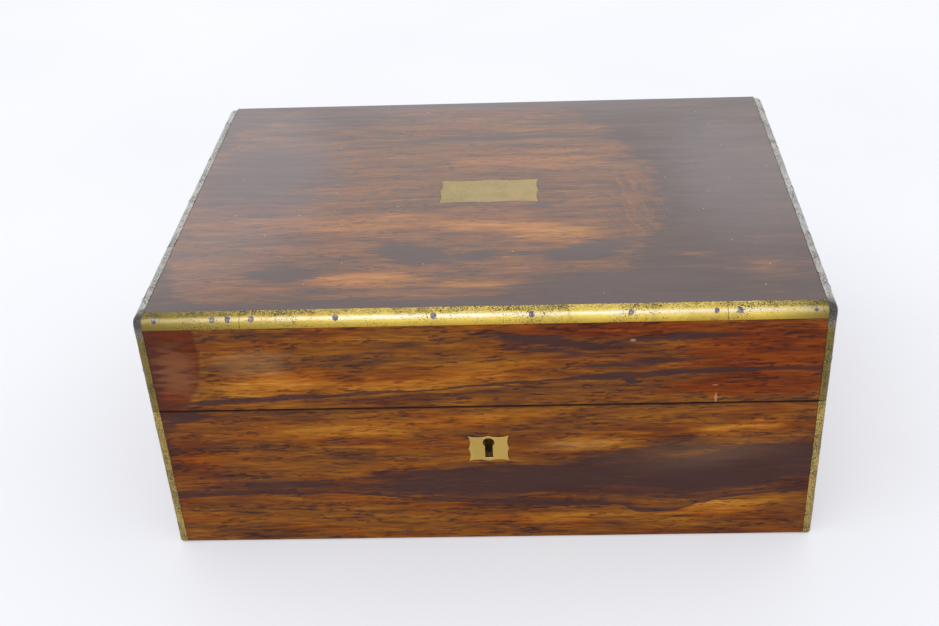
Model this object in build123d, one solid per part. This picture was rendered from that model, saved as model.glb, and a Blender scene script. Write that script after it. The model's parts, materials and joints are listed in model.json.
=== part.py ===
from build123d import *
import math
import os

# A brass-bound rosewood box with a fitted lift-out tray, a box lock and two butt hinges.
# Millimetres. Origin at the bottom centre, +X to the right, -Y to the front, +Z up. The lid is shut.

# ---- overall sizes ----
box_width = 305.0
box_depth = 229.0
box_height = 128.0
seam_height = 78.8
seam_gap = 0.3

# ---- boards, veneers and linings ----
veneer_thickness = 1.0
brass_proud = 0.15
front_board = 11.0
back_board = 10.0
side_board = 10.0
top_board = 10.0
bottom_board = 7.0
corner_rebate = 5.0
facing_thickness = 1.0
back_arris_radius = 0.6
baize_thickness = 0.8
baize_inset = 2.0
lining_thickness = 1.0
lining_below_rim = 2.0
lining_from_lock = 0.5
pad_thickness = 5.0
pad_gap = 0.5

# ---- brass edging ----
front_strip_on_top = 6.5
front_strip_on_face = 5.5
side_strip = 4.0
front_arris_radius = 4.0
side_arris_radius = 2.5
strip_joint = 105.5

# ---- edging pins, filed flush on the crest of the arris ----
pin_radius = 1.0
pin_length = 10.0
pin_from_end = 9.5
pin_beside_joint = 5.0
pin_pitch = 42.5
repair_pin = -117.6
side_pin_pitch = 47.5
side_pin_count = 5
lid_leg_pin_drop = 27.0
base_strip_pins = (12.0, 52.0)

# ---- inlaid plate and escutcheon ----
inlay_thickness = 1.5
plate_width = 50.0
plate_depth = 25.0
plate_centre_y = 2.5
plate_scallop = 1.0
escutcheon_width = 19.0
escutcheon_height = 14.5
escutcheon_centre_z = 54.6
escutcheon_scallop = 0.8
keyhole_z = 57.9
keyhole_radius = 2.6
keyhole_slot_width = 3.5
keyhole_bottom_z = 49.3

# ---- hinges ----
hinge_inset = 3.15
hinge_x = 95.0
groove_angle = 50.0
groove_root_radius = 0.6
knuckle_radius = 2.5
knuckle_count = 5
knuckle_gap = 0.2
knuckle_room = 0.4
leaf_room = 0.3
hinge_pin_radius = 1.0
hinge_running_clearance = 0.05
leaf_length = 38.0
leaf_width = 7.0
leaf_thickness = 1.3
leaf_screw_setback = 4.9
leaf_screw_pitch = 13.0

# ---- screws ----
screw_head_radius = 1.9
screw_head_depth = 1.1
screw_shank_radius = 1.0
screw_length = 8.0
screw_point = 2.0
screw_slot = 0.5

# ---- lock ----
lock_width = 62.0
lock_bottom_z = 45.0
lock_plate_thickness = 1.5
lock_front_wood = 2.0
case_from_plate_end = 6.0
case_depth = 6.5
case_above_lock_bottom = 2.0
case_wall = 1.0
lock_screw_from_end = 3.0
lock_screw_low_z = 50.0
lock_screw_high_z = 70.0
drill_pin_radius = 1.0
drill_pin_length = 7.0
drill_pin_tip = 0.3
rivet_radius = 0.7

# ---- lock bolt, links and guide studs ----
link_from_case_end = 13.0
link_thickness = 2.5
link_depth = 4.5
link_drop = 9.65
link_floor = 1.2
link_toe_radius = 1.0
eye_depth = 2.9
eye_height = 3.5
slot_room = 0.5
link_plate_thickness = 1.5
link_screw_from_end = 5.0
bolt_thickness = 2.1
bolt_travel = 4.0
bolt_bottom_z = 62.5
bolt_top_z = 68.5
bolt_end_room = 2.0
prong_length = 3.8
prong_bottom_z = 71.0
prong_height = 2.5
prong_short_of_link = 0.6
post_width = 3.0
talon_width = 5.0
talon_height = 4.0
stud_radius = 1.2
stud_clearance = 0.05
stud_z = 65.5
studs_from_case_ends = (14.0, 13.0)
spring_thickness = 0.5
spring_reach = 8.2
spring_drop = 2.1

# ---- tray ----
tray_height = 24.0
tray_below_rim = 1.0
tray_side_gap = 0.6
tray_rail = 4.0
tray_bottom_thickness = 3.0
tray_divider = 3.0
tray_front_cell_depth = 60.0
tray_cross_divider_x = 45.0
tray_liner = 0.8
tray_seat_gap = 0.2
ledge_width = 6.0
ledge_height = 8.0
ribbon_width = 14.0
ribbon_thickness = 0.8
ribbon_length = 17.0
ribbon_below_top = 0.6

# ---- heights and faces worked out from the sizes above ----
half_width = box_width / 2
half_depth = box_depth / 2
veneer_x = half_width - brass_proud
veneer_y = half_depth - brass_proud
veneer_top = box_height - brass_proud
shell_x = veneer_x - veneer_thickness
shell_y = veneer_y - veneer_thickness
shell_top = veneer_top - veneer_thickness
inner_x = shell_x - side_board
inner_front = -shell_y + front_board
inner_back = shell_y - back_board
lid_rim = seam_height + seam_gap / 2
base_rim = seam_height - seam_gap / 2
base_floor = baize_thickness + bottom_board
lid_ceiling = shell_top - top_board
strip_x = half_width - side_strip
strip_y = half_depth - side_strip
front_strip_back = -half_depth + front_strip_on_top
front_strip_bottom = box_height - front_strip_on_face
side_strip_bottom = box_height - side_strip
hinge_y = half_depth - hinge_inset
lined_x = inner_x - lining_thickness
lined_front = inner_front + lining_thickness
lined_back = inner_back - lining_thickness
lined_floor = base_floor + lining_thickness

# ---- lock places worked out from the sizes above ----
lock_face_y = inner_front - lock_plate_thickness
case_front_y = lock_face_y - case_depth
case_hollow_y = case_front_y + case_wall
selvedge_bottom = base_rim - lock_plate_thickness
selvedge_front_y = -shell_y + lock_front_wood
case_bottom_z = lock_bottom_z + case_above_lock_bottom
bolt_y = (case_hollow_y + lock_face_y) / 2
lock_screw_x = lock_width / 2 - lock_screw_from_end
case_width = lock_width - 2 * case_from_plate_end
case_end = case_width / 2
link_x = case_end - link_from_case_end
link_plate_width = case_width
link_screw_pitch = link_plate_width / 2 - link_screw_from_end
bolt_right = case_end - case_wall - bolt_travel - bolt_end_room
stud_places = (studs_from_case_ends[0] - case_end, case_end - studs_from_case_ends[1])

# ---- tray places worked out from the sizes above ----
tray_top = base_rim - tray_below_rim
tray_floor = tray_top - tray_height
tray_x = lined_x - tray_side_gap
tray_front = lined_front + tray_side_gap
tray_back = lined_back - tray_side_gap
cell_x = tray_x - tray_rail
cell_front = tray_front + tray_rail
cell_back = tray_back - tray_rail
cell_floor = tray_floor + tray_bottom_thickness
divider_front = cell_front + tray_front_cell_depth
divider_back = divider_front + tray_divider


def block(x, y, z):
    """A box between three (low, high) ranges."""
    centre = Pos(sum(x) / 2, sum(y) / 2, sum(z) / 2)
    return centre * Box(x[1] - x[0], y[1] - y[0], z[1] - z[0])


def rod_x(radius, x, y, z):
    """A round bar along X between the two ends of the range x."""
    return Pos(sum(x) / 2, y, z) * Rot(Y=90) * Cylinder(radius, x[1] - x[0])


def rod_y(radius, x, y, z):
    """A round bar along Y between the two ends of the range y."""
    return Pos(x, sum(y) / 2, z) * Rot(X=90) * Cylinder(radius, y[1] - y[0])


def mirrored(shape):
    """The same shape on the other side of the box's middle."""
    return mirror(shape, about=Plane.YZ)


def wall_frame(z, rebate):
    """Four boards of one frame: front and back run full width, with rebates that take the side boards."""
    ends = (inner_front - rebate, inner_back + rebate)
    left = block((-shell_x, -inner_x), ends, z)
    right = block((inner_x, shell_x), ends, z)
    front = block((-shell_x, shell_x), (-shell_y, inner_front), z) - [left, right]
    back = block((-shell_x, shell_x), (inner_back, shell_y), z) - [left, right]
    return {"front": front, "back": back, "left": left, "right": right}


# ---- brass edging ----
def brass_envelope():
    """The box's outer shape with the arrises that the brass is filed to, as three crossed prisms."""
    plan = RectangleRounded(box_width, box_depth, side_arris_radius)
    upright = extrude(plan, box_height)
    ends = RectangleRounded(box_width, 2 * box_height, side_arris_radius)
    lengthways = extrude(Plane.XZ * ends, half_depth, both=True)
    profile = Plane.YZ * Rectangle(box_depth, 2 * box_height)
    crossways = extrude(profile, half_width, both=True)
    top_edges = crossways.edges().filter_by(Axis.X).group_by(Axis.Z)[-1].sort_by(Axis.Y)
    crossways = fillet(top_edges[0], front_arris_radius)
    back_edge = crossways.edges().filter_by(Axis.X).group_by(Axis.Z)[-1].sort_by(Axis.Y)[-1]
    crossways = fillet(back_edge, side_arris_radius)
    return upright & lengthways & crossways


def arch_room(side):
    """The square room of one side's edging on the lid: a bar along the top and a leg at each end."""
    x = sorted((side * strip_x, side * half_width))
    bar = block(x, (-half_depth, half_depth), (side_strip_bottom, box_height))
    front_leg = block(x, (-half_depth, -strip_y), (lid_rim, box_height))
    back_leg = block(x, (strip_y, half_depth), (lid_rim, box_height))
    return bar + front_leg + back_leg


def corner_room(side, end):
    """The square room of one upright strip on the base."""
    x = sorted((side * strip_x, side * half_width))
    y = sorted((end * strip_y, end * half_depth))
    return block(x, y, (baize_thickness, base_rim))


def front_strip_room(x):
    """The square room of one length of the front strip."""
    return block(x, (-half_depth, front_strip_back), (front_strip_bottom, box_height))


def pin_along(crest, inward):
    """A pin driven in at a point on an arris, a little long outside so that it can be filed flush."""
    stretch = pin_length + pin_radius
    body = Cylinder(pin_radius, stretch, align=(Align.CENTER, Align.CENTER, Align.MIN))
    start = Vector(*crest) - Vector(*inward).normalized() * pin_radius
    return Plane(origin=start, z_dir=Vector(*inward)) * body


def crest(radius):
    """How far an arris's crest lies inside the square corner, along each face."""
    return radius * (1 - math.sqrt(0.5))


def front_pins():
    """The pins along the front strip: by each butt joint, near each end and evenly in the middle length."""
    near_end = half_width - pin_from_end
    beside = (strip_joint - pin_beside_joint, strip_joint + pin_beside_joint)
    between = (pin_pitch / 2, 3 * pin_pitch / 2)
    places = [side * x for side in (-1, 1) for x in (near_end, *beside, *between)]
    inset = crest(front_arris_radius)
    pins = [pin_along((x, -half_depth + inset, box_height - inset), (0, 1, -1)) for x in places]
    return pins + [pin_along((repair_pin, -half_depth + inset, box_height - inset), (0, 1, -1))]


def side_pins():
    """The pins along both side strips on top, and one in each leg of the lid's edging."""
    inset = crest(side_arris_radius)
    middle = (side_pin_count - 1) / 2
    pins = []
    for side in (-1, 1):
        x = side * (half_width - inset)
        for i in range(side_pin_count):
            y = (i - middle) * side_pin_pitch
            pins.append(pin_along((x, y, box_height - inset), (-side, 0, -1)))
        for end in (-1, 1):
            y = end * (half_depth - inset)
            pins.append(pin_along((x, y, box_height - lid_leg_pin_drop), (-side, -end, 0)))
    return pins


def corner_pins():
    """The pins in the base's upright strips."""
    inset = crest(side_arris_radius)
    pins = []
    for side in (-1, 1):
        for end in (-1, 1):
            for z in base_strip_pins:
                point = (side * (half_width - inset), end * (half_depth - inset), z)
                pins.append(pin_along(point, (-side, -end, 0)))
    return pins


# ---- inlays ----
def scalloped_outline(width, height, scallop):
    """A face with pointed corners, whose sides are each two shallow scallops that meet at a point."""
    x, y = width / 2, height / 2
    points = [(-x, -y), (0, -y), (x, -y), (x, 0), (x, y), (0, y), (-x, y), (-x, 0)]
    arcs = []
    for start, end in zip(points, points[1:] + points[:1]):
        start, end = Vector(*start), Vector(*end)
        middle = (start + end) / 2
        inward = Vector(start.Y - end.Y, end.X - start.X).normalized()
        arcs.append(ThreePointArc(start, middle + inward * scallop, end))
    return make_face(arcs)


def plate_room():
    """The lid plate, and the pocket that it is let into."""
    outline = scalloped_outline(plate_width, plate_depth, plate_scallop)
    return Pos(0, plate_centre_y, veneer_top) * extrude(outline, -inlay_thickness)


def escutcheon_room():
    """The escutcheon without its keyhole, and the pocket that it is let into."""
    outline = scalloped_outline(escutcheon_width, escutcheon_height, escutcheon_scallop)
    place = Plane(origin=(0, -veneer_y, escutcheon_centre_z), x_dir=(1, 0, 0), z_dir=(0, -1, 0))
    return extrude(place * outline, -inlay_thickness)


def keyhole():
    """The keyhole through everything in front of the lock's works."""
    y = (-half_depth, case_hollow_y)
    eye = rod_y(keyhole_radius, 0, y, keyhole_z)
    slot_x = (-keyhole_slot_width / 2, keyhole_slot_width / 2)
    return eye + block(slot_x, y, (keyhole_bottom_z, keyhole_z))


# ---- screws ----
def screw_blank():
    """A countersunk wood screw without its slot, the flat of its head at the origin, its point down."""
    head = Pos(0, 0, -screw_head_depth / 2) * Cone(screw_shank_radius, screw_head_radius, screw_head_depth)
    shank_length = screw_length - screw_head_depth - screw_point
    shank = Pos(0, 0, -screw_head_depth - shank_length / 2) * Cylinder(screw_shank_radius, shank_length)
    point = Pos(0, 0, screw_point / 2 - screw_length) * Cone(screw_slot / 2, screw_shank_radius, screw_point)
    return head + shank + point


def screws_at(places):
    """The slotted screws and their blanks at a list of places."""
    blank = screw_blank()
    slot = Box(2 * screw_head_radius + 1, screw_slot, 2 * screw_slot)
    screw = blank - slot
    return [place * screw for place in places], [place * blank for place in places]


# ---- hinges ----
def groove():
    """The bevelled groove along the back, whose two faces meet to stop the lid."""
    reach = 2 * hinge_inset
    rise = reach * math.tan(math.radians(groove_angle))
    corners = [(0, 0), (reach, rise), (reach, -rise)]
    wedge = make_face(Polyline(*corners, close=True))
    place = Plane(origin=(0, hinge_y, seam_height), x_dir=(0, 1, 0), z_dir=(1, 0, 0))
    root = rod_x(groove_root_radius, (-half_width - 1, half_width + 1), hinge_y, seam_height)
    return extrude(place * wedge, half_width + 1, both=True) + root


def knuckle_room_at(x):
    """The round room in both rims that one hinge's knuckles turn in."""
    reach = leaf_length / 2 + knuckle_room
    return rod_x(knuckle_radius + knuckle_room, (x - reach, x + reach), hinge_y, seam_height)


def leaf_block(x, z):
    """The flat of one hinge leaf, and the pocket that it is let into."""
    return block((x - leaf_length / 2, x + leaf_length / 2), (hinge_y - leaf_width, hinge_y), z)


def knuckles(x, numbers, radius, gap):
    """The knuckles of one hinge with the given numbers, counted from the left."""
    pitch = leaf_length / knuckle_count
    bars = []
    for number in numbers:
        start = x - leaf_length / 2 + number * pitch
        bars.append(rod_x(radius, (start + gap / 2, start + pitch - gap / 2), hinge_y, seam_height))
    return bars


def hinge_leaf(x, z, own, others, bore, blanks):
    """One hinge leaf: its flat and its own knuckles, cleared round the other leaf's knuckles."""
    leaf = leaf_block(x, z) + knuckles(x, own, knuckle_radius, knuckle_gap)
    leaf = leaf - knuckles(x, others, knuckle_radius + leaf_room, -knuckle_gap)
    hole = rod_x(bore, (x - leaf_length, x + leaf_length), hinge_y, seam_height)
    return leaf - hole - blanks


def leaf_screw_places(z, turn):
    """Three screw places on each hinge's leaf."""
    places = []
    for x in (-hinge_x, hinge_x):
        for step in (-1, 0, 1):
            point = Pos(x + step * leaf_screw_pitch, hinge_y - leaf_screw_setback, z)
            places.append(point * Rot(X=turn))
    return places


# ---- lock ----
def lock_plate():
    """The lock's bent plate: its upright against the board's inner face and its selvedge in the rim."""
    half = lock_width / 2
    upright = block((-half, half), (lock_face_y, inner_front), (lock_bottom_z, base_rim))
    selvedge = block((-half, half), (selvedge_front_y, inner_front), (selvedge_bottom, base_rim))
    return upright + selvedge


def case_block():
    """The lock case's outer shape, and the deep part of its mortise."""
    return block((-case_end, case_end), (case_front_y, lock_face_y), (case_bottom_z, selvedge_bottom))


def case_hollow():
    """The room inside the lock case, open to the plate behind and the selvedge above."""
    half = case_end - case_wall
    return block((-half, half), (case_hollow_y, lock_face_y), (case_bottom_z + case_wall, selvedge_bottom))


def drill_pin():
    """The pin that the key's pipe turns on, riveted through the lock plate."""
    tip_y = lock_face_y - drill_pin_length
    shaft = rod_y(drill_pin_radius, 0, (tip_y, lock_face_y), keyhole_z)
    shaft = chamfer(shaft.edges().group_by(Axis.Y)[0], drill_pin_tip)
    return shaft + rod_y(rivet_radius, 0, (lock_face_y, inner_front), keyhole_z)


def guide_studs():
    """The two studs on the lock plate that the bolt's slots run on."""
    stop = bolt_y - bolt_thickness
    studs = [rod_y(stud_radius, x, (stop, lock_face_y), stud_z) for x in stud_places]
    tails = [rod_y(rivet_radius, x, (lock_face_y, inner_front), stud_z) for x in stud_places]
    return [stud + tail for stud, tail in zip(studs, tails)]


def lock_screw_places():
    """Four screws through the upright and two through the selvedge."""
    places = []
    for x in (-lock_screw_x, lock_screw_x):
        for z in (lock_screw_low_z, lock_screw_high_z):
            places.append(Pos(x, inner_front, z) * Rot(X=-90))
        places.append(Pos(x, (selvedge_front_y + lock_face_y) / 2, base_rim))
    return places


def link_block(x, extra, top):
    """One link below the lid's rim, or with extra the slot that it passes through."""
    low = x - link_thickness / 2 - extra
    high = x + link_thickness / 2 + extra
    depth = link_depth / 2 + extra
    return block((low, high), (bolt_y - depth, bolt_y + depth), (lid_rim - link_drop, top))


def link_plate():
    """The lid's half of the lock: a plate let into the rim, with two links that take the bolt."""
    half = link_plate_width / 2
    plate = block((-half, half), (selvedge_front_y, inner_front), (lid_rim, lid_rim + link_plate_thickness))
    for x in (-link_x, link_x):
        link = link_block(x, 0, lid_rim)
        toe = link.edges().filter_by(Axis.X).group_by(Axis.Z)[0]
        link = fillet(toe, link_toe_radius)
        eye_bottom = lid_rim - link_drop + link_floor
        eye_y = (bolt_y - eye_depth / 2, bolt_y + eye_depth / 2)
        eye = block((x - link_thickness, x + link_thickness), eye_y, (eye_bottom, eye_bottom + eye_height))
        plate = plate + (link - eye)
    return plate


def lock_bolt():
    """The sliding bolt: a bar with a talon and two guide slots, and a prong for each link."""
    y = (bolt_y - bolt_thickness / 2, bolt_y + bolt_thickness / 2)
    prong_top = prong_bottom_z + prong_height
    bar_left = -link_x - link_thickness / 2 - prong_short_of_link - prong_length - post_width
    bolt = block((bar_left, bolt_right), y, (bolt_bottom_z, bolt_top_z))
    for x in (-link_x, link_x):
        tip = x - link_thickness / 2 - prong_short_of_link
        post_left = tip - prong_length - post_width
        bolt = bolt + block((post_left, post_left + post_width), y, (bolt_top_z, prong_top))
        bolt = bolt + block((post_left, tip), y, (prong_bottom_z, prong_top))
    talon_x = -bolt_travel / 2
    talon = (talon_x - talon_width / 2, talon_x + talon_width / 2)
    bolt = bolt - block(talon, y, (bolt_bottom_z, bolt_bottom_z + talon_height))
    slot_radius = stud_radius + stud_clearance
    for x in stud_places:
        ends = [rod_y(slot_radius, x - shift, y, stud_z) for shift in (0, bolt_travel)]
        slot = block((x - bolt_travel, x), y, (stud_z - slot_radius, stud_z + slot_radius))
        bolt = bolt - [slot, *ends]
    return bolt


def bolt_spring():
    """The leaf spring under the bolt's tail, riveted to it at its right-hand end."""
    right = bolt_right - spring_thickness
    left = bolt_right - spring_reach
    root = (right, bolt_bottom_z)
    seat = (right - 2 * spring_thickness, bolt_bottom_z)
    tip = (left, bolt_bottom_z - spring_drop)
    under_tip = (left, bolt_bottom_z - spring_drop - spring_thickness)
    under_root = (right, bolt_bottom_z - spring_thickness)
    outline = make_face(Polyline(root, seat, tip, under_tip, under_root, close=True))
    place = Plane(origin=(0, bolt_y, 0), x_dir=(1, 0, 0), z_dir=(0, -1, 0))
    return extrude(place * outline, bolt_thickness / 2, both=True)


# ---- linings ----
def wall_linings(z, cut=None):
    """Four lining panels on the inner faces of one frame."""
    front = block((-inner_x, inner_x), (inner_front, lined_front), z)
    back = block((-inner_x, inner_x), (lined_back, inner_back), z)
    left = block((-inner_x, -lined_x), (lined_front, lined_back), z)
    right = block((lined_x, inner_x), (lined_front, lined_back), z)
    if cut is not None:
        front = front - cut
    return Compound([front, back, left, right])


def cell_ranges():
    """The tray's four cells as (x, y) ranges: one long cell in front of three."""
    back_y = (divider_back, cell_back)
    side = tray_cross_divider_x
    return [
        ((-cell_x, cell_x), (cell_front, divider_front)),
        ((-cell_x, -side - tray_divider / 2), back_y),
        ((-side + tray_divider / 2, side - tray_divider / 2), back_y),
        ((side + tray_divider / 2, cell_x), back_y),
    ]


def tray_liner_in(x, y):
    """The lining of one tray cell: a floor and four walls."""
    t = tray_liner
    top = tray_top - ribbon_below_top
    hollow = block((x[0] + t, x[1] - t), (y[0] + t, y[1] - t), (cell_floor + t, top))
    return block(x, y, (cell_floor, top)) - hollow


# ---- the pieces, by name ----
def lid_pieces(edging_pins):
    """Every piece that turns with the lid."""
    envelope = brass_envelope()
    rooms = {"left": arch_room(-1), "right": arch_room(1)}
    bar = front_strip_room((-strip_x, strip_x))
    lengths = {
        "left": (-strip_x, -strip_joint),
        "middle": (-strip_joint, strip_joint),
        "right": (strip_joint, strip_x),
    }
    strips = {f"lid_front_strip_{name}": front_strip_room(x) for name, x in lengths.items()}
    strips.update({f"lid_edging_{name}": room for name, room in rooms.items()})
    back_groove = groove()
    brass = [bar, *rooms.values()]
    pieces = {name: (room & envelope) - edging_pins - back_groove for name, room in strips.items()}

    walls = wall_frame((lid_rim + facing_thickness, lid_ceiling), corner_rebate)
    facings = wall_frame((lid_rim, lid_rim + facing_thickness), 0)
    leaf_z = (lid_rim, lid_rim + leaf_thickness)
    leaf_pockets = [leaf_block(x, leaf_z) for x in (-hinge_x, hinge_x)]
    hinge_room = [back_groove, *[knuckle_room_at(x) for x in (-hinge_x, hinge_x)], *leaf_pockets]
    leaf_screws, leaf_blanks = screws_at(leaf_screw_places(lid_rim, 180))
    half = link_plate_width / 2
    link_pocket = block((-half, half), (selvedge_front_y, inner_front), (lid_rim, lid_rim + link_plate_thickness))
    link_y = (selvedge_front_y + inner_front) / 2
    link_places = [Pos(step * link_screw_pitch, link_y, lid_rim) * Rot(X=180) for step in (-1, 0, 1)]
    link_screws, link_blanks = screws_at(link_places)

    walls["front"] = walls["front"] - brass - [link_pocket, *link_blanks]
    walls["back"] = walls["back"] - brass - hinge_room - leaf_blanks
    facings["front"] = facings["front"] - brass - link_pocket
    facings["back"] = facings["back"] - brass - hinge_room
    for name in ("left", "right"):
        walls[name] = walls[name] - brass - edging_pins - back_groove
        facings[name] = facings[name] - brass - back_groove
    for name, board in walls.items():
        pieces[f"lid_{name}_board"] = board
    pieces["lid_front_board"] = pieces["lid_front_board"] - edging_pins
    pieces["lid_back_board"] = pieces["lid_back_board"] - edging_pins
    pieces["lid_rim_facings"] = Compound(list(facings.values()))
    top = block((-shell_x, shell_x), (-shell_y, shell_y), (lid_ceiling, shell_top))
    pieces["lid_top_board"] = top - brass - plate_room() - edging_pins

    side_z = (lid_rim, side_strip_bottom)
    front_z = (lid_rim, front_strip_bottom)
    front = block((-strip_x, strip_x), (-veneer_y, -shell_y), front_z)
    back = block((-strip_x, strip_x), (shell_y, veneer_y), (lid_rim, shell_top))
    left = block((-veneer_x, -shell_x), (-strip_y, strip_y), side_z)
    top = block((-strip_x, strip_x), (front_strip_back, veneer_y), (shell_top, veneer_top))
    back_arris = top.edges().filter_by(Axis.X).group_by(Axis.Z)[-1].sort_by(Axis.Y)[-1]
    top = fillet(back_arris, back_arris_radius)
    pieces["lid_top_veneer"] = top - plate_room()
    pieces["lid_front_veneer"] = front
    pieces["lid_back_veneer"] = back - hinge_room
    pieces["lid_left_veneer"] = left - back_groove
    pieces["lid_right_veneer"] = mirrored(left) - back_groove
    pieces["lid_plate"] = plate_room()
    pieces["lid_edging_pins"] = Compound([pin & envelope for pin in edging_pins])

    bore = hinge_pin_radius + hinge_running_clearance
    own = range(1, knuckle_count, 2)
    others = range(0, knuckle_count, 2)
    leaves = [hinge_leaf(x, leaf_z, own, others, bore, leaf_blanks) for x in (-hinge_x, hinge_x)]
    pieces["hinge_lid_leaves"] = Compound(leaves)
    pieces["lid_hinge_screws"] = Compound(leaf_screws)
    pieces["link_plate"] = link_plate() - link_blanks
    pieces["link_plate_screws"] = Compound(link_screws)

    pieces["lid_wall_linings"] = wall_linings((lid_rim + lining_below_rim, lid_ceiling))
    pad_x = (pad_gap - lined_x, lined_x - pad_gap)
    pad_y = (lined_front + pad_gap, lined_back - pad_gap)
    pieces["lid_pad"] = block(pad_x, pad_y, (lid_ceiling - pad_thickness, lid_ceiling))
    return pieces


def base_carcass(edging_pins):
    """The base's boards, veneers, corner strips, facings, linings and baize."""
    envelope = brass_envelope()
    names = {-1: "left", 1: "right"}
    ends = {-1: "front", 1: "back"}
    rooms = {f"base_corner_strip_{ends[end]}_{names[side]}": corner_room(side, end)
             for side in names for end in ends}
    brass = list(rooms.values())
    back_groove = groove()
    pieces = {name: (room & envelope) - edging_pins - back_groove for name, room in rooms.items()}

    walls = wall_frame((base_floor, base_rim - facing_thickness), corner_rebate)
    facings = wall_frame((base_rim - facing_thickness, base_rim), 0)
    leaf_z = (base_rim - leaf_thickness, base_rim)
    leaf_pockets = [leaf_block(x, leaf_z) for x in (-hinge_x, hinge_x)]
    hinge_room = [back_groove, *[knuckle_room_at(x) for x in (-hinge_x, hinge_x)], *leaf_pockets]
    leaf_screws, leaf_blanks = screws_at(leaf_screw_places(base_rim, 0))
    lock_screws, lock_blanks = screws_at(lock_screw_places())
    mortise = [lock_plate(), case_block(), keyhole()]

    walls["front"] = walls["front"] - brass - mortise - lock_blanks - edging_pins
    walls["back"] = walls["back"] - brass - hinge_room - leaf_blanks - edging_pins
    facings["front"] = facings["front"] - brass - lock_plate()
    facings["back"] = facings["back"] - brass - hinge_room
    for name in ("left", "right"):
        walls[name] = walls[name] - brass - edging_pins - back_groove
        facings[name] = facings[name] - brass - back_groove
    for name, board in walls.items():
        pieces[f"base_{name}_board"] = board
    pieces["base_rim_facings"] = Compound(list(facings.values()))
    bottom = block((-shell_x, shell_x), (-shell_y, shell_y), (baize_thickness, base_floor))
    pieces["bottom_board"] = bottom - brass - edging_pins

    z = (baize_thickness, base_rim)
    front = block((-strip_x, strip_x), (-veneer_y, -shell_y), z)
    back = block((-strip_x, strip_x), (shell_y, veneer_y), z)
    left = block((-veneer_x, -shell_x), (-strip_y, strip_y), z)
    pocket = escutcheon_room()
    pieces["base_front_veneer"] = front - pocket - keyhole()
    pieces["base_front_board"] = pieces["base_front_board"] - pocket
    pieces["base_back_veneer"] = back - hinge_room
    pieces["base_left_veneer"] = left - back_groove
    pieces["base_right_veneer"] = mirrored(left) - back_groove
    pieces["escutcheon"] = pocket - keyhole()
    pieces["base_edging_pins"] = Compound([pin & envelope for pin in edging_pins])

    own = range(0, knuckle_count, 2)
    others = range(1, knuckle_count, 2)
    leaves = [hinge_leaf(x, leaf_z, own, others, hinge_pin_radius, leaf_blanks) for x in (-hinge_x, hinge_x)]
    pieces["hinge_base_leaves"] = Compound(leaves)
    spans = [(x - leaf_length / 2, x + leaf_length / 2) for x in (-hinge_x, hinge_x)]
    pieces["hinge_pins"] = Compound([rod_x(hinge_pin_radius, span, hinge_y, seam_height) for span in spans])
    pieces["base_hinge_screws"] = Compound(leaf_screws)
    pieces["lock_screws"] = Compound(lock_screws)
    slots = [link_block(x, slot_room, base_rim) for x in (-link_x, link_x)]
    holes = [drill_pin(), *guide_studs(), *lock_blanks, *slots]
    pieces["lock_plate"] = lock_plate() - holes
    return pieces


def base_fittings():
    """The lock's inner works, the linings, the ledges and the baize under the box."""
    pieces = {}
    pieces["lock_case"] = case_block() - case_hollow() - keyhole()
    pieces["lock_drill_pin"] = drill_pin()
    pieces["bolt_guide_studs"] = Compound(guide_studs())
    half = lock_width / 2 + lining_from_lock
    window = block((-half, half), (inner_front, lined_front), (lock_bottom_z - lining_from_lock, base_rim))
    pieces["base_wall_linings"] = wall_linings((lined_floor, base_rim - lining_below_rim), window)
    floor = (base_floor, lined_floor)
    pieces["base_floor_lining"] = block((-inner_x, inner_x), (inner_front, inner_back), floor)
    ledge_top = tray_floor - tray_seat_gap
    ledge_z = (ledge_top - ledge_height, ledge_top)
    ledge = block((-lined_x, ledge_width - lined_x), (lined_front, lined_back), ledge_z)
    pieces["tray_ledges"] = Compound([ledge, mirrored(ledge)])
    baize_x = half_width - baize_inset
    baize_y = half_depth - baize_inset
    pieces["underside_baize"] = block((-baize_x, baize_x), (-baize_y, baize_y), (0, baize_thickness))
    return pieces


def tray_pieces():
    """The lift-out tray."""
    height = (tray_floor, tray_top)
    front = block((-tray_x, tray_x), (tray_front, cell_front), height)
    back = block((-tray_x, tray_x), (cell_back, tray_back), height)
    end = block((-tray_x, -cell_x), (cell_front, cell_back), height)
    bottom = block((-cell_x, cell_x), (cell_front, cell_back), (tray_floor, cell_floor))
    divider_z = (cell_floor, tray_top - ribbon_below_top)
    long_divider = block((-cell_x, cell_x), (divider_front, divider_back), divider_z)
    side = tray_cross_divider_x
    thick = tray_divider / 2
    cross = block((-side - thick, -side + thick), (divider_back, cell_back), divider_z)
    face = cell_x - tray_liner
    ribbon_top = tray_top - ribbon_below_top
    ribbon_z = (ribbon_top - ribbon_length, ribbon_top)
    middle = (tray_front + tray_back) / 2
    ribbon_y = (middle - ribbon_width / 2, middle + ribbon_width / 2)
    ribbon = block((-face, ribbon_thickness - face), ribbon_y, ribbon_z)
    return {
        "tray_long_rails": Compound([front, back]),
        "tray_end_rails": Compound([end, mirrored(end)]),
        "tray_bottom": bottom,
        "tray_dividers": Compound([long_divider, cross, mirrored(cross)]),
        "tray_linings": Compound([tray_liner_in(x, y) for x, y in cell_ranges()]),
        "tray_ribbons": Compound([ribbon, mirrored(ribbon)]),
    }


def build():
    """Every piece of the box, by name."""
    pieces = lid_pieces(front_pins() + side_pins())
    pieces.update(base_carcass(corner_pins()))
    pieces.update(base_fittings())
    pieces.update(tray_pieces())
    pieces["lock_bolt"] = lock_bolt()
    pieces["bolt_spring"] = bolt_spring()
    return pieces


os.makedirs("parts", exist_ok=True)
for node, shape in build().items():
    export_step(shape, f"parts/{node}.step")
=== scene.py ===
import json
import math

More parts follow.
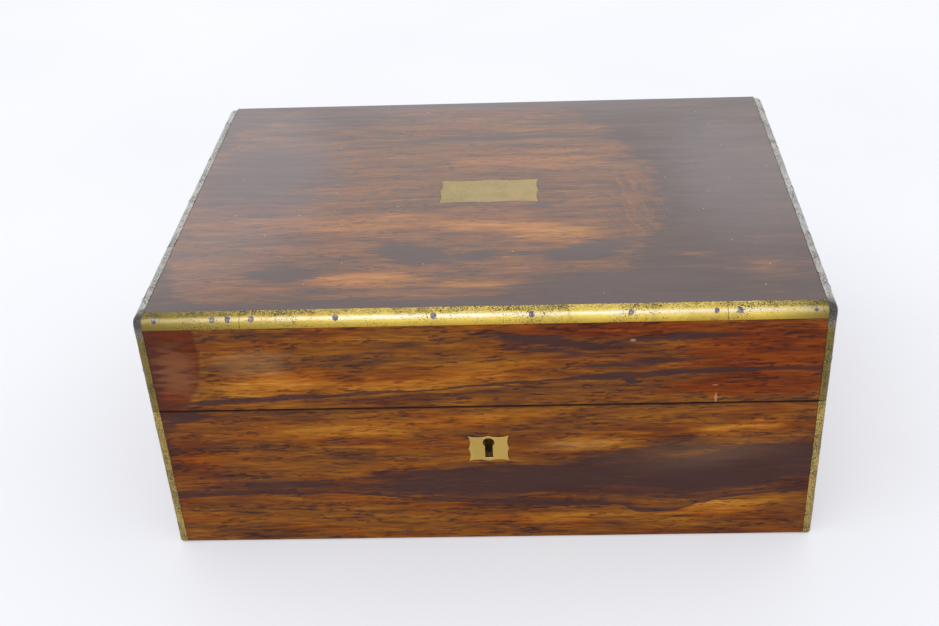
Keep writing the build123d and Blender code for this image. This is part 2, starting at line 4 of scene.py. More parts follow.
import bmesh
import bpy
import numpy as np
from mathutils import Matrix, Vector, noise


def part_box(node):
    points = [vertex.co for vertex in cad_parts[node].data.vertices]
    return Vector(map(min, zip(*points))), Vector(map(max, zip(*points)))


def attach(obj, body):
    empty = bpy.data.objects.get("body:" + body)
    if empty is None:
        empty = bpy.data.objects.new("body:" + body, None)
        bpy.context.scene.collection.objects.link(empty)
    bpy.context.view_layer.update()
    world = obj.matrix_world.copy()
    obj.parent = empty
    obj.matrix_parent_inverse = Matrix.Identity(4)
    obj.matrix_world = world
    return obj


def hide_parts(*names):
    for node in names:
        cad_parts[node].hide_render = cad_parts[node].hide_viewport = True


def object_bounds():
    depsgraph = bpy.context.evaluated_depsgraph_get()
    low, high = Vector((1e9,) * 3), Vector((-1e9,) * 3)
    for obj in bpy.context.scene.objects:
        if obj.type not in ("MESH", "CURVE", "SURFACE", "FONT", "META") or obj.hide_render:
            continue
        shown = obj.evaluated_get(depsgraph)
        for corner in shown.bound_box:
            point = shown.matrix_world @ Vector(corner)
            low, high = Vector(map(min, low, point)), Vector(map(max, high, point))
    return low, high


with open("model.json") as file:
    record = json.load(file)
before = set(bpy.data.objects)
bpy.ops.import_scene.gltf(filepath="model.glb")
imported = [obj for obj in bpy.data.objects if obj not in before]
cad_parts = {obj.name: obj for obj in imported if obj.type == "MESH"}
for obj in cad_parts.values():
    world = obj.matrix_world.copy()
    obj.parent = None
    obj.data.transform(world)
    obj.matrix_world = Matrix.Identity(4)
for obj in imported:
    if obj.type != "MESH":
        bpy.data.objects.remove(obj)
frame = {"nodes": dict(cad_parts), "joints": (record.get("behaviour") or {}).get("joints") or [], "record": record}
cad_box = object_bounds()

# A brass-bound rosewood box: figured veneers under old polish, pinned brass edging, two brass inlays,
# a box lock, and inside it velvet linings and a lift-out tray. Metres, in the box's own frame: +X to
# the right, -Y to the front, +Z up.
MM = 0.001
EASED = {"interpolation_type": "SMOOTHSTEP"}    # a range that starts and ends gently


# ---- small helpers ----
def linear(hex_code):
    """An sRGB hex colour as linear red, green, blue and alpha."""
    parts = [int(hex_code[i:i + 2], 16) / 255 for i in (1, 3, 5)]
    return (*[p / 12.92 if p <= 0.04045 else ((p + 0.055) / 1.055) ** 2.4 for p in parts], 1.0)


def add(tree, kind, *values, into=None, stops=None, curve=None, **settings):
    """A node with its settings. The values feed its live inputs in order, and into feeds them by name.
    A value is a number, a colour, a socket, or a node whose first live output is meant."""
    node = tree.nodes.new(kind)
    for name, value in settings.items():
        setattr(node, name, value)
    live = [socket for socket in node.inputs if socket.enabled]
    feeds = list(zip(live, values))
    for name, value in (into or {}).items():
        feeds.append((next(socket for socket in live if socket.name == name), value))
    for socket, value in feeds:
        if isinstance(value, bpy.types.Node):
            value = next(output for output in value.outputs if output.enabled)
        if isinstance(value, bpy.types.NodeSocket):
            tree.links.new(value, socket)
        else:
            socket.default_value = value
    if stops:
        elements = node.color_ramp.elements
        while len(elements) < len(stops):
            elements.new(1.0)
        for element, (position, hex_code) in zip(elements, stops):
            element.position = position
            element.color = linear(hex_code)
    if curve:
        points = node.mapping.curves[0].points
        points[0].location, points[1].location = curve[0], curve[-1]
        for place in curve[1:-1]:
            points.new(*place)
        node.mapping.update()
    return node


def new_material(name):
    """An empty node material and its tree."""
    material = bpy.data.materials.new(name)
    material.use_nodes = True
    material.node_tree.nodes.clear()
    return material, material.node_tree


def object_millimetres(tree, turn=(0, 0, 0)):
    """Object coordinates in millimetres, turned so that X runs along the grain and Y across it."""
    place = add(tree, "ShaderNodeTexCoord").outputs["Object"]
    return add(tree, "ShaderNodeMapping", place, into={"Rotation": turn, "Scale": (1 / MM,) * 3})


def streaks(tree, grain, length, width, detail=3.0, roughness=0.55):
    """Noise drawn out along the grain, with marks of about that length and width in millimetres."""
    stretched = add(tree, "ShaderNodeVectorMath", grain, (1 / length, 1 / width, 1 / width),
                    operation="MULTIPLY")
    return add(tree, "ShaderNodeTexNoise",
               into={"Vector": stretched, "Scale": 1.0, "Detail": detail, "Roughness": roughness})


def total(tree, terms):
    """The sum of terms, each a (value, factor) pair."""
    result = 0.0
    for value, factor in terms:
        result = add(tree, "ShaderNodeMath", value, factor, result, operation="MULTIPLY_ADD")
    return result


def patches(tree, grain, places):
    """Oval patches that fade from their middles, each (along, across, half length, half width, tilt,
    strength). A strength well above 1 gives a crisp edge."""
    result = 0.0
    flat = 1e6
    for along, across, half_length, half_width, tilt, strength in places:
        local = add(tree, "ShaderNodeMapping", grain, vector_type="TEXTURE",
                    into={"Location": (along, across, 0), "Rotation": (0, 0, math.radians(tilt)),
                          "Scale": (half_length, half_width, flat)})
        fade = add(tree, "ShaderNodeTexGradient", local, gradient_type="SPHERICAL")
        weight = add(tree, "ShaderNodeMath", fade.outputs["Fac"], strength, operation="MULTIPLY")
        if result == 0.0:
            result = weight
        else:
            result = add(tree, "ShaderNodeMath", result, weight, operation="MAXIMUM")
    return add(tree, "ShaderNodeMapRange", result, 0.03, 0.5, **EASED)


def shifted(tree, grain, length, width, reach):
    """The coordinates moved about by noise, up to about reach millimetres each way."""
    drift = streaks(tree, grain, length, width, 3.0).outputs["Color"]
    centred = add(tree, "ShaderNodeVectorMath", drift, (0.5, 0.5, 0.5), operation="SUBTRACT")
    return add(tree, "ShaderNodeVectorMath", centred, [4 * r for r in reach], grain,
               operation="MULTIPLY_ADD")


# ---- rosewood ----
GRAIN_TURNS = {
    "top": (0, 0, 0),
    "front": (-math.pi / 2, 0, 0),
    "side": (-math.pi / 2, -math.pi / 2, 0),
}
HALF_LENGTH = cad_box[1][0] / MM
BOX_FRONT = cad_box[0][1] / MM
BOX_TOP = cad_box[1][2] / MM
SEAM_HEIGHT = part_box("base_rim_facings")[1].z / MM

# Colours of old rosewood, each run from its darkest streaks to its palest, of what lies on it, and of the dark
# band along the parting line.
BROWN_WOOD = ("#38231E", "#4C2E20", "#6B401A", "#8A5618", "#A57026", "#C08F45")
RUDDY_WOOD = ("#341A16", "#482012", "#652B0C", "#803C0C", "#9A5014", "#B46C28")
SMOKE = "#4C3634"
TAN_BLOOM = "#C29A70"
SCRATCHED = "#C98F6A"
SEAM_DARK = "#1E140F"
DUST = "#C9C0B4"


def drawn_line(tree, grain, points, low, high):
    """How far a place lies above a line that is drawn along the veneer, in millimetres. The points are
    (along, across), and low and high bound the line's height."""
    along, across, _ = add(tree, "ShaderNodeSeparateXYZ", grain).outputs
    share = add(tree, "ShaderNodeMapRange", along, -HALF_LENGTH, HALF_LENGTH, 0.0, 1.0)
    spots = [((x + HALF_LENGTH) / (2 * HALF_LENGTH), (y - low) / (high - low)) for x, y in points]
    height = add(tree, "ShaderNodeFloatCurve", into={"Value": share}, curve=spots)
    level = add(tree, "ShaderNodeMath", height, high - low, low, operation="MULTIPLY_ADD")
    return add(tree, "ShaderNodeMath", across, level, operation="SUBTRACT")


def curled(tree, grain, ragged, figure, places):
    """The figure, with rings that turn across the grain in these places."""
    turned = add(tree, "ShaderNodeMapping", shifted(tree, grain, 30.0, 30.0, (4.0, 4.0, 0.0)),
                 into={"Rotation": (0, 0, math.radians(76))})
    rings = total(tree, [(streaks(tree, turned, 30.0, 2.2, 3.0, 0.6), 1.5), (-0.75, 1.0)])
    swirl = add(tree, "ShaderNodeMath", patches(tree, ragged, places), 0.75, operation="MULTIPLY")
    return add(tree, "ShaderNodeMix", swirl, figure, rings, data_type="FLOAT")


def ended_on_line(tree, grain, clouds, line):
    """The dark clouds, cut off sharply below a drawn line and darkest just above it."""
    above = drawn_line(tree, shifted(tree, grain, 9.0, 3.0, (0.0, 0.45, 0.0)), *line)
    over = add(tree, "ShaderNodeMapRange", above, -0.2, 0.5, **EASED)
    clouds = add(tree, "ShaderNodeMath", clouds, over, operation="MULTIPLY")
    fading = add(tree, "ShaderNodeMapRange", above, 0.5, 7.0, 0.6, 0.0, **EASED)
    rim = add(tree, "ShaderNodeMapRange", above, 0.6, 1.8, 1.0, 0.0, **EASED)
    edge = add(tree, "ShaderNodeMath", fading, rim, operation="MAXIMUM")
    edge = add(tree, "ShaderNodeMath", edge, over, operation="MULTIPLY")
    return add(tree, "ShaderNodeMath", clouds, edge, operation="MAXIMUM")


def with_streak(tree, grain, clouds, line):
    """The dark clouds, with one streak along a drawn line, thick and thin by turns."""
    above = drawn_line(tree, shifted(tree, grain, 12.0, 3.0, (0.0, 0.7, 0.0)), *line)
    distance = add(tree, "ShaderNodeMath", above, 0.0, operation="ABSOLUTE")
    thick = streaks(tree, grain, 45.0, 400.0, 1.0)
    half_width = add(tree, "ShaderNodeMapRange", thick, 0.3, 0.7, 0.5, 1.8, **EASED)
    body = add(tree, "ShaderNodeMath", distance, half_width, operation="DIVIDE")
    body = add(tree, "ShaderNodeMapRange", body, 0.5, 1.1, 0.95, 0.0, **EASED)
    return add(tree, "ShaderNodeMath", clouds, body, operation="MAXIMUM")


def rosewood(name, turn, dark=(), gold=(), red=(), field=None, curl=None, streak=None, tide=None, bloom_and_painted_haze=(),
             marks=(), stains=(), base_tone=0.5, contrast=1.0, wander=5.0, dust=0.0, coat=0.06, gloss=0.05,
             bloom_and_painted_haze_colour=TAN_BLOOM, ruddiness=0.7, seam=None):
    """Brazilian rosewood veneer, sawn and French polished, then aged and rubbed by use. The eye gets golden brown
    streaks, smoky violet-brown clouds, red-brown stretches, short dark pores and a thin, slightly hazy skin.
    Dark, gold, red, the milky haze, marks and stains are lists of patches, and field is one patch, outside which
    the wood darkens. The milky haze is a clouding of the polish, and on the lid's top a painted reflection. Seam
    is the height of the parting line, along which the wood is darkened."""
    material, tree = new_material(name)
    grain = object_millimetres(tree, GRAIN_TURNS[turn])
    drifting = shifted(tree, grain, 90.0, 30.0, (0.0, wander, 0.0))
    ragged = shifted(tree, grain, 20.0, 3.0, (9.0, 1.8, 0.0))

    # The figure: streaks of three sizes, smoke, and short dark pores that lean and gather in flocks.
    broad = streaks(tree, drifting, 50.0, 4.5, 4.0, 0.6)
    narrow = streaks(tree, drifting, 14.0, 1.2, 3.0, 0.6)
    fine = streaks(tree, drifting, 7.0, 0.5, 2.0)
    smoke = add(tree, "ShaderNodeMapRange", streaks(tree, drifting, 55.0, 12.0, 3.0), 0.5, 0.75, **EASED)
    lean = add(tree, "ShaderNodeMapping", grain, into={"Rotation": (0, 0, math.radians(-2.5))})
    strokes = add(tree, "ShaderNodeMapRange", streaks(tree, lean, 5.5, 1.0, 1.0), 0.55, 0.62, **EASED)
    flocks = add(tree, "ShaderNodeMapRange", streaks(tree, grain, 26.0, 6.0, 2.0), 0.40, 0.56, **EASED)
    dashes = add(tree, "ShaderNodeMath", strokes, flocks, operation="MULTIPLY")
    figure = total(tree, [(broad, 1.1), (narrow, 0.9), (fine, 0.5), (-1.25, 1.0)])
    if curl:
        figure = curled(tree, grain, ragged, figure, curl)

    # How light the wood is, from 0 to 1.
    tone = total(tree, [(1.0, base_tone), (figure, contrast), (smoke, -0.16), (dashes, -0.34 * contrast)])
    clouds = patches(tree, ragged, dark) if dark else 0.0
    if tide:
        clouds = ended_on_line(tree, grain, clouds, tide)
    if streak:
        clouds = with_streak(tree, grain, clouds, streak)
    if gold:
        tone = total(tree, [(tone, 1.0), (patches(tree, ragged, gold), 0.28)])
    if field:
        heart = add(tree, "ShaderNodeMapRange", patches(tree, ragged, [field]), 0.0, 0.06, **EASED)
        tone = total(tree, [(tone, 1.0), (heart, 0.26), (-0.26, 1.0)])
    tone = total(tree, [(tone, 1.0), (clouds, -0.40)])
    if stains:
        stained = patches(tree, shifted(tree, grain, 30.0, 9.0, (0.8, 0.4, 0.0)), stains)
        evened = total(tree, [(tone, 0.45), (0.12, 1.0)])
        tone = add(tree, "ShaderNodeMix", stained, tone, evened, data_type="FLOAT")

    # Its colour, brown or ruddy, and what lies on it.
    brown, ruddy = (
        add(tree, "ShaderNodeValToRGB", tone, stops=[(i / 5, colour) for i, colour in enumerate(run)])
        for run in (BROWN_WOOD, RUDDY_WOOD))
    warm = add(tree, "ShaderNodeMapRange", streaks(tree, drifting, 50.0, 9.0, 2.0), 0.4, 0.7, 0.1, ruddiness,
               **EASED)
    if red:
        warm = add(tree, "ShaderNodeMath", warm, patches(tree, ragged, red), operation="MAXIMUM")
    if stains:
        warm = add(tree, "ShaderNodeMath", warm, stained, operation="MAXIMUM")
    wood = add(tree, "ShaderNodeMix", warm, brown, ruddy, data_type="RGBA")
    smoky = add(tree, "ShaderNodeMath", clouds, 0.35, operation="MULTIPLY")
    layers = [(smoky, SMOKE)]
    # Milky patches in the polish; on the lid's top they are a painted reflection, a haze where the polish catches
    # the bright room.
    if bloom_and_painted_haze:
        bloom_and_painted_haze_veil = add(tree, "ShaderNodeMath", patches(tree, ragged, bloom_and_painted_haze), 0.12, operation="MULTIPLY")
        layers.append((bloom_and_painted_haze_veil, bloom_and_painted_haze_colour))
    if marks:
        scratched = add(tree, "ShaderNodeMath", patches(tree, grain, marks), 0.45, operation="MULTIPLY")
        layers.append((scratched, SCRATCHED))
    # The wood is darkened to near black within about a millimetre of the parting line between lid and base.
    if seam:
        rise = add(tree, "ShaderNodeSeparateXYZ", grain).outputs["Y"]
        from_seam = add(tree, "ShaderNodeMath", rise, seam, operation="SUBTRACT")
        from_seam = add(tree, "ShaderNodeMath", from_seam, 0.0, operation="ABSOLUTE")
        layers.append((add(tree, "ShaderNodeMapRange", from_seam, 0.3, 0.9, 0.85, 0.0, **EASED), SEAM_DARK))
    if dust:
        grit = add(tree, "ShaderNodeTexVoronoi", into={"Vector": grain, "Scale": 1 / 9.0})
        layers.append((add(tree, "ShaderNodeMapRange", grit, 0.03, 0.05, dust, 0.0, **EASED), DUST))
    for cover, colour in layers:
        wood = add(tree, "ShaderNodeMix", cover, wood, linear(colour), data_type="RGBA")

    relief = total(tree, [(fine, 0.4), (dashes, -1.0), (narrow, 0.3)])
    bump = add(tree, "ShaderNodeBump",
               into={"Strength": 0.35, "Distance": 0.06 * MM, "Height": relief})
    roughness = add(tree, "ShaderNodeMapRange", broad, 0.3, 0.7, 0.42, 0.30, **EASED)
    shader = add(tree, "ShaderNodeBsdfPrincipled", into={
        "Base Color": wood, "Roughness": roughness, "Normal": bump, "IOR": 1.5,
        "Specular IOR Level": gloss, "Coat Weight": coat, "Coat Roughness": 0.16, "Coat IOR": 1.52})
    add(tree, "ShaderNodeOutputMaterial", shader)
    return material


def lid_top_rosewood():
    """The lid's top: a warm brown heart that ends on a curve at the right, dark patches along the front,
    and a grey-violet haze towards the back and the ends, a painted reflection of the bright room in the polish."""
    return rosewood(
        "french_polished_rosewood_lid_top", "top", base_tone=0.34, contrast=0.64, dust=0.45, coat=0.8,
        gloss=0.12, bloom_and_painted_haze_colour="#A59CA6", ruddiness=0.4,
        field=(-40, -5, 133, 155, 0, 1.0),
        curl=[(78, 0, 20, 36, 8, 1.0), (70, -32, 14, 22, 10, 1.0)],
        dark=[
            (-93, -77, 20, 12, 0, 0.7), (-34, -61, 24, 13, -20, 0.9), (-5, -64, 20, 7, 10, 0.6),
            (50, -60, 28, 10, 20, 0.85), (25, -14, 16, 5, 5, 0.5), (5, 65, 85, 4, 1, 0.7),
            (60, -90, 60, 15, 5, 0.6), (0, -107, 200, 9, 0, 0.7), (-118, 25, 50, 60, 0, 0.5),
            (-90, 95, 70, 20, 0, 0.4), (110, 10, 30, 120, 0, 0.4), (0, 112, 200, 12, 0, 0.5),
        ],
        gold=[
            (-55, -84, 40, 9, 0, 0.9), (30, -42, 42, 15, -15, 0.8), (-60, -30, 64, 16, 0, 0.6),
            (-105, -28, 24, 9, 0, 0.3), (-5, -33, 50, 10, 0, 0.6), (15, 40, 95, 26, 0, 0.35),
            (0, -88, 34, 7, 0, 0.6), (-120, -90, 28, 12, 0, 0.2), (128, -80, 20, 16, 0, 0.45),
            (99, -67, 10, 5, 0, 0.6),
        ],
        red=[(-118, -12, 20, 4, 0, 1.0), (-92, 72, 26, 10, 0, 0.6), (20, 100, 120, 10, 0, 0.6)],
        # Painted reflection: a grey-violet haze towards the left, the back and the right.
        bloom_and_painted_haze=[(-150, 20, 90, 150, 0, 1.0), (0, 130, 260, 60, 0, 0.5), (130, 20, 60, 120, 0, 0.6)],
    )


def front_rosewood():
    """The lid's and the base's fronts, cut from one sheet: a dark streak rises across the lid, whose left
    end has a red-brown stain with a crisp edge, and a dark band ends on a wavy line low on the base."""
    streak = [(-152, 81), (-129, 83), (-39, 87.7), (32, 92.7), (94, 96.2), (152, 97)]
    tide = [(-152, 27.5), (-91, 29.3), (-63, 28.4), (-25, 23.6), (3, 22), (32, 20), (60, 20), (72, 15),
            (82, 15.5), (98, 20), (117, 24.4), (152, 27.4)]
    return rosewood(
        "french_polished_rosewood_fronts", "front", base_tone=0.42, contrast=0.71, wander=2.0,
        ruddiness=0.6, seam=SEAM_HEIGHT, streak=(streak, 75, 100), tide=(tide, 10, 35),
        dark=[
            (-56, 108, 66, 3, 8, 0.3), (-40, 104, 50, 2.5, 6, 0.25), (28, 113, 38, 4, -8, 0.7),
            (36, 107, 40, 3, -8, 0.5), (66, 101, 40, 2.5, 4, 0.6), (84, 114, 46, 3, 4, 0.5),
            (66, 91.5, 7, 2.5, 5, 0.8), (-139, 75, 15, 5, 15, 1.0), (-149, 100, 9, 60, 0, 0.4),
            (28, 36, 120, 11, 2, 1.0), (110, 40, 80, 17, 10, 1.0), (-30, 40, 60, 6, 4, 0.5),
            (-100, 35, 70, 7, 0, 0.4), (62, 48, 66, 8, 8, 0.5), (-80, 4, 90, 6, 0, 0.5),
            (40, 4, 60, 5, 0, 0.4),
        ],
        gold=[
            (-95, 92, 34, 12, 4, 0.9), (-30, 91, 70, 7, 3, 0.8), (0, 100, 50, 6, 3, 0.5),
            (-70, 116, 60, 5, 2, 0.3), (50, 104, 34, 4, -12, 0.4), (-60, 67, 80, 10, 2, 0.5),
            (0, 72, 44, 6, 2, 0.5), (48, 57, 30, 5, 4, 0.6), (115, 65, 30, 5, 5, 0.7),
            (-60, 13, 100, 9, 0, 0.3), (112, 18, 40, 7, 4, 0.7), (30, 13, 50, 6, 0, 0.4),
        ],
        red=[
            (130, 106, 70, 26, 0, 0.8), (120, 88, 60, 8, 0, 0.9),
            (-137, 52, 26, 34, 0, 0.4), (60, 119, 90, 8, 0, 0.7), (122, 45, 34, 16, 0, 0.4),
            (0, 95, 60, 10, 0, 0.3),
        ],
        bloom_and_painted_haze=[(-103, 104, 24, 10, 0, 0.9), (-137, 100, 14, 22, 0, 0.6), (40, 56, 34, 4, 4, 0.5),
               (100, 50, 60, 14, 6, 0.4)],
        stains=[(-150, 112, 25.5, 40, 0, 5.0)],
        marks=[(65, 113, 1.8, 1.1, 0, 0.8), (102.5, 81.5, 0.8, 3.6, 0, 1.0), (102, 88.5, 2.2, 0.5, 0, 0.6)],
    )


def side_rosewood(name, turn, seam=SEAM_HEIGHT):
    """The sides' and the back's veneers, plainer stuff from the same log."""
    return rosewood(name, turn, base_tone=0.42, contrast=0.85, wander=3.0, coat=0.3, seam=seam,
                    dark=[(-60, 105, 90, 12, 4, 0.7), (50, 60, 110, 10, -3, 0.8), (-30, 25, 120, 9, 3, 0.8)],
                    gold=[(40, 95, 80, 9, 3, 0.6), (-50, 62, 70, 10, 2, 0.6), (60, 15, 80, 9, 0, 0.5)],
                    red=[(90, 110, 60, 20, 0, 0.6), (-90, 45, 50, 20, 0, 0.6)])


# ---- other materials ----
TARNISH = "#6B6138"
PIT = "#2E2818"


def old_brass(name, bright, tarnish, pits, roughness=0.3, top_pits=None, arris=None, ends=None, below=None):
    """Cast and filed brass, hand polished and pitted by age. The eye gets warm yellow metal, salted with
    black specks and darkened to olive where no cloth reaches. Pits above 0 thicken the specks and pits
    below 0 thin them. Where a strip needs them, top_pits is the range in Y over which its pits thicken,
    arris the range of Z - Y over which its front upper edge takes another colour, a painted highlight on the
    front strip and a dark patina on the side arches, ends four places along X, dark, clear, clear and dark,
    and below a range in Z with the colour that it takes lower down; the paler colour above it is a painted
    reflection of the bright room."""
    material, tree = new_material(name)
    place = object_millimetres(tree)
    x, y, z = add(tree, "ShaderNodeSeparateXYZ", place).outputs
    # Specks about 0.4 mm across, the 11 mm patches in which they crowd, and stains of about 30 mm.
    specks, crowding, stains = (
        add(tree, "ShaderNodeTexNoise", into={"Vector": place, "Scale": s, "Detail": d, "Roughness": r})
        for s, d, r in ((2.3, 1.0, 0.5), (0.09, 3.0, 0.6), (0.035, 4.0, 0.65)))
    crowd = add(tree, "ShaderNodeMapRange", crowding, 0.35, 0.65, -0.5, 0.5, **EASED)
    level = total(tree, [(specks, 1.0), (crowd, 0.10), (pits, 1.0)])
    if top_pits:
        upper_pits = add(tree, "ShaderNodeMapRange", y, *top_pits, -0.04, 0.095)
        level = add(tree, "ShaderNodeMath", level, upper_pits)
    pitting = add(tree, "ShaderNodeMapRange", level, 0.58, 0.66, **EASED)
    stained = add(tree, "ShaderNodeMapRange", stains, 0.45, 0.72, 0.0, tarnish, **EASED)
    if ends:
        for full, none in (ends[:2], ends[3:1:-1]):
            end = add(tree, "ShaderNodeMapRange", x, full, none, 0.9, 0.0)
            stained = add(tree, "ShaderNodeMath", stained, end, operation="MAXIMUM")
    clean = linear(bright)
    # Painted reflection: the upper faces keep the paler colour, as if they mirrored the bright room, and the lower
    # faces take a deeper one, as if they mirrored the table.
    if below:
        low, high, lower_colour = below
        upper = add(tree, "ShaderNodeMapRange", z, low, high, **EASED)
        clean = add(tree, "ShaderNodeMix", upper, linear(lower_colour), clean, data_type="RGBA")
    metal = add(tree, "ShaderNodeMix", stained, clean, linear(TARNISH), data_type="RGBA")
    # On the front strip this paints a cream highlight along the crest of the rounded arris, standing in for the
    # lamp's reflection; on the side arches it darkens the front corners with patina. Both fade where the metal is
    # tarnished.
    if arris:
        low, high, arris_colour = arris
        rise = add(tree, "ShaderNodeMath", z, y, operation="SUBTRACT")
        painted_highlight_and_patina = add(tree, "ShaderNodeMapRange", rise, low, high, 0.0, 0.85, **EASED)
        clear_of_tarnish = add(tree, "ShaderNodeMapRange", stained, 0.0, 0.9, 1.0, 0.15)
        painted_highlight_and_patina = add(tree, "ShaderNodeMath", painted_highlight_and_patina, clear_of_tarnish, operation="MULTIPLY")
        metal = add(tree, "ShaderNodeMix", painted_highlight_and_patina, metal, linear(arris_colour), data_type="RGBA")
    metal = add(tree, "ShaderNodeMix", pitting, metal, linear(PIT), data_type="RGBA")
    finish = total(tree, [(pitting, 0.35), (stained, 0.2), (1.0, roughness)])
    height = total(tree, [(pitting, -1.0), (specks, 0.3)])
    bump = add(tree, "ShaderNodeBump", into={"Strength": 0.4, "Distance": 0.08 * MM, "Height": height})
    shine = add(tree, "ShaderNodeMapRange", pitting, 0.0, 1.0, 1.0, 0.35, **EASED)
    shader = add(tree, "ShaderNodeBsdfPrincipled",
                 into={"Base Color": metal, "Metallic": shine, "Roughness": finish, "Normal": bump})
    add(tree, "ShaderNodeOutputMaterial", shader)
    return material


def steel(name, tint):
    """Iron and steel wire, filed and darkened by air. The eye gets grey metal with brown-violet stains."""
    material, tree = new_material(name)
    place = object_millimetres(tree)
    stain = add(tree, "ShaderNodeTexNoise",
                into={"Vector": place, "Scale": 0.9, "Detail": 3.0, "Roughness": 0.6})
    colour = add(tree, "ShaderNodeValToRGB", stain,
                 stops=[(0.3, "#2E282B"), (0.5, tint), (0.7, "#9C949A")])
    bump = add(tree, "ShaderNodeBump", into={"Strength": 0.3, "Distance": 0.05 * MM, "Height": stain})
    shader = add(tree, "ShaderNodeBsdfPrincipled", into={
        "Base Color": colour, "Metallic": 0.8, "Roughness": 0.42, "Normal": bump})
    add(tree, "ShaderNodeOutputMaterial", shader)
    return material


def plain_wood(name, turn, dark, light, polish):
    """Mahogany, planed across its faces. The eye gets straight reddish grain with short pores."""
    material, tree = new_material(name)
    grain = object_millimetres(tree, GRAIN_TURNS[turn])
    wander = shifted(tree, grain, 80.0, 30.0, (0.0, 4.0, 4.0))
    bands = streaks(tree, wander, 90.0, 3.0, 4.0)
    pores = add(tree, "ShaderNodeMapRange", streaks(tree, wander, 4.0, 0.4, 1.0), 0.6, 0.7, **EASED)
    tone = total(tree, [(bands, 1.0), (pores, -0.25)])
    wood = add(tree, "ShaderNodeValToRGB", tone, stops=[(0.2, dark), (0.75, light)])
    bump = add(tree, "ShaderNodeBump", into={"Strength": 0.3, "Distance": 0.08 * MM, "Height": tone})
    shader = add(tree, "ShaderNodeBsdfPrincipled", into={
        "Base Color": wood, "Roughness": 0.5, "Normal": bump, "Coat Weight": polish, "Coat Roughness": 0.2})
    add(tree, "ShaderNodeOutputMaterial", shader)
    return material


def cloth(name, shade, light, sheen, pile):
    """A piled cloth: silk velvet, ribbon or wool baize, by its colours and the size of its pile. The eye
    gets soft colour that lightens at grazing angles and where the pile is crushed."""
    material, tree = new_material(name)
    place = object_millimetres(tree)
    crushed = streaks(tree, shifted(tree, place, 40.0, 40.0, (6.0, 6.0, 6.0)), 34.0, 11.0, 2.0, 0.5)
    fibre = streaks(tree, place, 1.6 * pile, pile, 2.0)
    tone = total(tree, [(crushed, 0.7), (fibre, 0.3)])
    colour = add(tree, "ShaderNodeValToRGB", tone, stops=[(0.3, shade), (0.72, light)])
    bump = add(tree, "ShaderNodeBump", into={"Strength": 0.5, "Distance": 0.2 * MM, "Height": fibre})
    shader = add(tree, "ShaderNodeBsdfPrincipled", into={
        "Base Color": colour, "Roughness": 0.9, "Normal": bump, "Specular IOR Level": 0.2,
        "Sheen Weight": sheen, "Sheen Roughness": 0.4})
    add(tree, "ShaderNodeOutputMaterial", shader)
    return material


# ---- making pieces ----
def link(name, mesh):
    """A new object for a mesh, at the origin."""
    piece = bpy.data.objects.new(name, mesh)
    bpy.context.scene.collection.objects.link(piece)
    return piece


def merged_copy(node):
    """A CAD node's shape as closed faces, ready to be worked on."""
    shape = bmesh.new()
    shape.from_mesh(frame["nodes"][node].data)
    bmesh.ops.remove_doubles(shape, verts=shape.verts, dist=0.002 * MM)
    bmesh.ops.dissolve_limit(shape, angle_limit=math.radians(1), verts=shape.verts, edges=shape.edges)
    return shape


def piece_from(shape, name):
    """A new object from a finished bmesh, which is freed."""
    mesh = bpy.data.meshes.new(name)
    shape.to_mesh(mesh)
    shape.free()
    return link(name, mesh)


def ease_arrises(piece, width, segments=2):
    """A narrow round along every sharp edge."""
    ease = piece.modifiers.new("eased arrises", "BEVEL")
    ease.width = width
    ease.segments = segments
    ease.limit_method = "ANGLE"
    ease.angle_limit = math.radians(40)


def apply_modifiers(piece):
    """Turns the piece's modifiers into its mesh."""
    bpy.context.view_layer.update()
    graph = bpy.context.evaluated_depsgraph_get()
    mesh = bpy.data.meshes.new_from_object(piece.evaluated_get(graph))
    piece.modifiers.clear()
    old = piece.data
    piece.data = mesh
    bpy.data.meshes.remove(old)


def as_plain_mesh(piece, material, crease_degrees=35):
    """A plain mesh with one material, smooth but for creases where its faces meet steeply."""
    apply_modifiers(piece)
    mesh = piece.data
    mesh.materials.clear()
    mesh.materials.append(material)
    mesh.shade_smooth()
    mesh.set_sharp_from_angle(angle=math.radians(crease_degrees))


def keep_within(piece, low, high):
    """Presses a piece's points back to these corners."""
    for vertex in piece.data.vertices:
        vertex.co = [min(max(c, a), b) for c, a, b in zip(vertex.co, low, high)]


def body_of(node):
    """The body that a CAD node moves with."""
    bodies = frame["record"]["behaviour"]["bodies"]
    return next(body for body, members in bodies.items() if node in members)


def settle(piece, node):
    """The piece stands for its CAD node: it rides on the node's body, and the node is hidden."""
    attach(piece, body_of(node))
    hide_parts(node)


def make_hard_pieces(width, material, *nodes):
    """Hard pieces, each its CAD node's shape with its arrises eased to this width."""
    for node in nodes:
        piece = piece_from(merged_copy(node), node + "_finished")
        ease_arrises(piece, width)
        as_plain_mesh(piece, material)
        even = piece.modifiers.new("flats stay flat", "WEIGHTED_NORMAL")
        even.keep_sharp = True
        apply_modifiers(piece)
        settle(piece, node)


def dress(material, *nodes):
    """CAD nodes that keep their own meshes take a material."""
    for node in nodes:
        for place in frame["nodes"][node].material_slots:
            place.material = material


# ---- soft pieces ----
def grid_cut(shape, steps):
    """Cuts the shape's faces along X, Y and Z at about these steps, so that they can be moved about."""
    for axis, step in enumerate(steps):
        places = [vertex.co[axis] for vertex in shape.verts]
        low, high = min(places), max(places)
        count = max(1, round((high - low) / step))
        normal = Vector((0.0, 0.0, 0.0))
        normal[axis] = 1.0
        for i in range(1, count):
            parts = shape.verts[:] + shape.edges[:] + shape.faces[:]
            place = normal * (low + (high - low) * i / count)
            bmesh.ops.bisect_plane(shape, geom=parts, plane_co=place, plane_no=normal)


